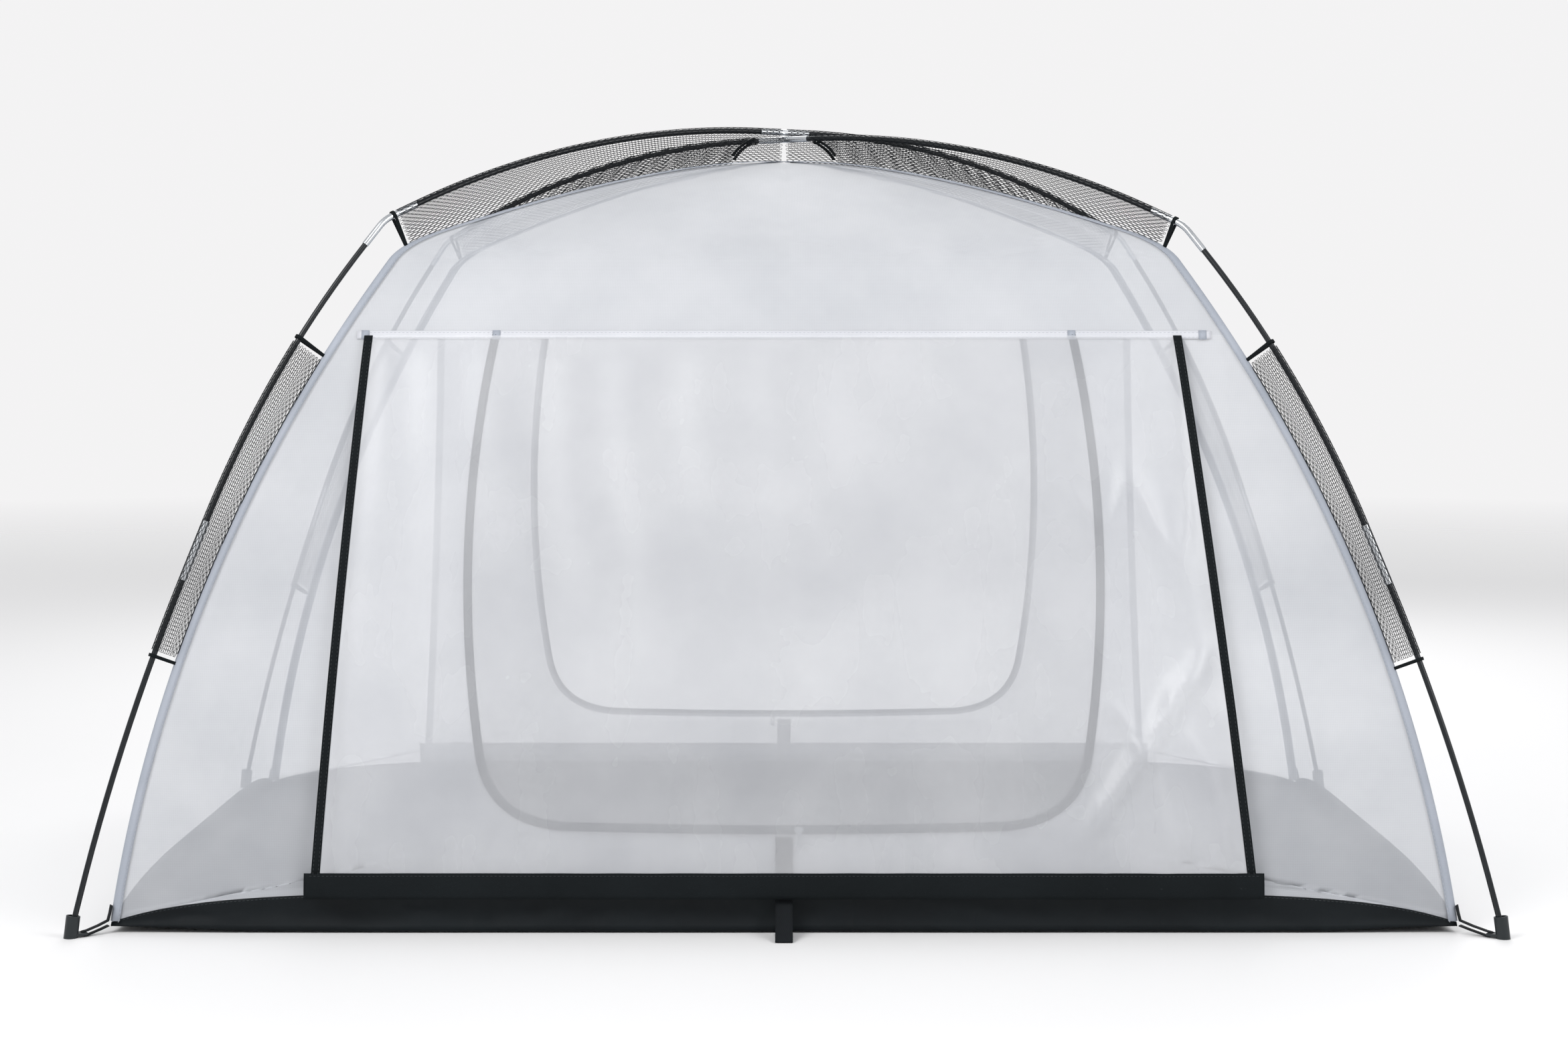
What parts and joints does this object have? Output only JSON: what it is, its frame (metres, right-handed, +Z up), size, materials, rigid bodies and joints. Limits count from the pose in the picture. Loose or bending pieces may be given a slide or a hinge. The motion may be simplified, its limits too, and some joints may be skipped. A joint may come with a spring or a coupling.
{
  "type": "net dome tent",
  "caption": "Low dome net tent with sheer mesh walls, zipped doors, hanging curtains and a black floor tub, held up by crossed sectional arch poles in mesh sleeves.",
  "frame": {"origin": "on the ground under the apex, at the bottom centre of the whole object", "axes": "+Z up, +X to the right seen from the front, so the front door faces -Y"},
  "size_m": [2.135, 1.4356, 1.2315],
  "materials": {
    "pole_rod": "black fibreglass rod, smooth and glossy",
    "ferrule_metal": "bright plated steel tube",
    "cap_plastic": "moulded black plastic",
    "sleeve_net": "coarse black hexagonal net",
    "shock_cord": "braided elastic cord",
    "black_tape": "woven black binding tape",
    "webbing": "woven black webbing",
    "tub_fabric": "coated black floor fabric",
    "grey_tape": "woven grey seam tape",
    "white_tape": "white seam tape",
    "zip_tape": "grey coil zip on its tape",
    "sheer_mesh": "sheer white insect mesh",
    "door_mesh": "finer, clearer white mesh",
    "curtain_sheer": "sheer glossy white cloth",
    "slider_metal": "cast zinc slider and pull"
  },
  "bodies": {
    "tent": {"corner_straps": "webbing", "floor_tub": "tub_fabric", "front_centre_strap": "webbing", "front_door_zip": "zip_tape", "front_left_elbow": "ferrule_metal", "front_left_ferrule": "ferrule_metal", "front_left_foot_cap": "cap_plastic", "front_left_lower_rod": "pole_rod", "front_left_lower_sleeve": "sleeve_net", "front_left_middle_rod": "pole_rod", "front_left_roof_rod": "pole_rod", "front_lower_panel": "sheer_mesh", "front_right_elbow": "ferrule_metal", "front_right_ferrule": "ferrule_metal", "front_right_foot_cap": "cap_plastic", "front_right_lower_rod": "pole_rod", "front_right_lower_sleeve": "sleeve_net", "front_right_middle_rod": "pole_rod", "front_right_roof_rod": "pole_rod", "front_right_roof_sleeve": "sleeve_net", "front_seam_tape": "white_tape", "front_upper_panel": "sheer_mesh", "left_wall": "sheer_mesh", "lower_pole_shock_cord": "shock_cord", "lower_pole_top_ferrule": "ferrule_metal", "rear_centre_strap": "webbing", "rear_door_zip": "zip_tape", "rear_left_elbow": "ferrule_metal", "rear_left_ferrule": "ferrule_metal", "rear_left_foot_cap": "cap_plastic", "rear_left_lower_rod": "pole_rod", "rear_left_lower_sleeve": "sleeve_net", "rear_left_middle_rod": "pole_rod", "rear_left_roof_rod": "pole_rod", "rear_left_roof_sleeve": "sleeve_net", "rear_lower_panel": "sheer_mesh", "rear_right_elbow": "ferrule_metal", "rear_right_ferrule": "ferrule_metal", "rear_right_foot_cap": "cap_plastic", "rear_right_lower_rod": "pole_rod", "rear_right_lower_sleeve": "sleeve_net", "rear_right_middle_rod": "pole_rod", "rear_right_roof_rod": "pole_rod", "rear_seam_tape": "white_tape", "rear_upper_panel": "sheer_mesh", "ridge_tapes": "grey_tape", "right_wall": "sheer_mesh", "sleeve_bindings": "black_tape", "upper_pole_roof_sleeve": "sleeve_net", "upper_pole_shock_cord": "shock_cord", "upper_pole_top_ferrule": "ferrule_metal"},
    "front_door": {"front_door": "door_mesh"},
    "rear_door": {"rear_door": "door_mesh"},
    "front_curtain": {"front_curtain_net": "curtain_sheer", "front_curtain_border": "black_tape"},
    "rear_curtain": {"rear_curtain_net": "curtain_sheer", "rear_curtain_border": "black_tape"},
    "front_slider": {"front_zip_slider": "slider_metal"},
    "rear_slider": {"rear_zip_slider": "slider_metal"}
  },
  "joints": [
    {"name": "front_door_swing", "type": "hinge", "parent": "tent", "child": "front_door", "pos_m": [0, -0.445, 0.884], "axis": [1, 0, 0], "range_deg": [0, 45]},
    {"name": "rear_door_swing", "type": "hinge", "parent": "tent", "child": "rear_door", "pos_m": [0, 0.445, 0.884], "axis": [-1, 0, 0], "range_deg": [0, 45]},
    {"name": "front_curtain_lift", "type": "hinge", "parent": "tent", "child": "front_curtain", "pos_m": [0, -0.4498, 0.884], "axis": [-1, 0, 0], "range_deg": [0, 90]},
    {"name": "rear_curtain_lift", "type": "hinge", "parent": "tent", "child": "rear_curtain", "pos_m": [0, 0.4498, 0.884], "axis": [1, 0, 0], "range_deg": [0, 90]},
    {"name": "front_zip_slide", "type": "slide", "parent": "tent", "child": "front_slider", "axis": [1, 0, 0], "range_m": [0, 0.325]},
    {"name": "rear_zip_slide", "type": "slide", "parent": "tent", "child": "rear_slider", "axis": [-1, 0, 0], "range_m": [0, 0.325]}
  ]
}
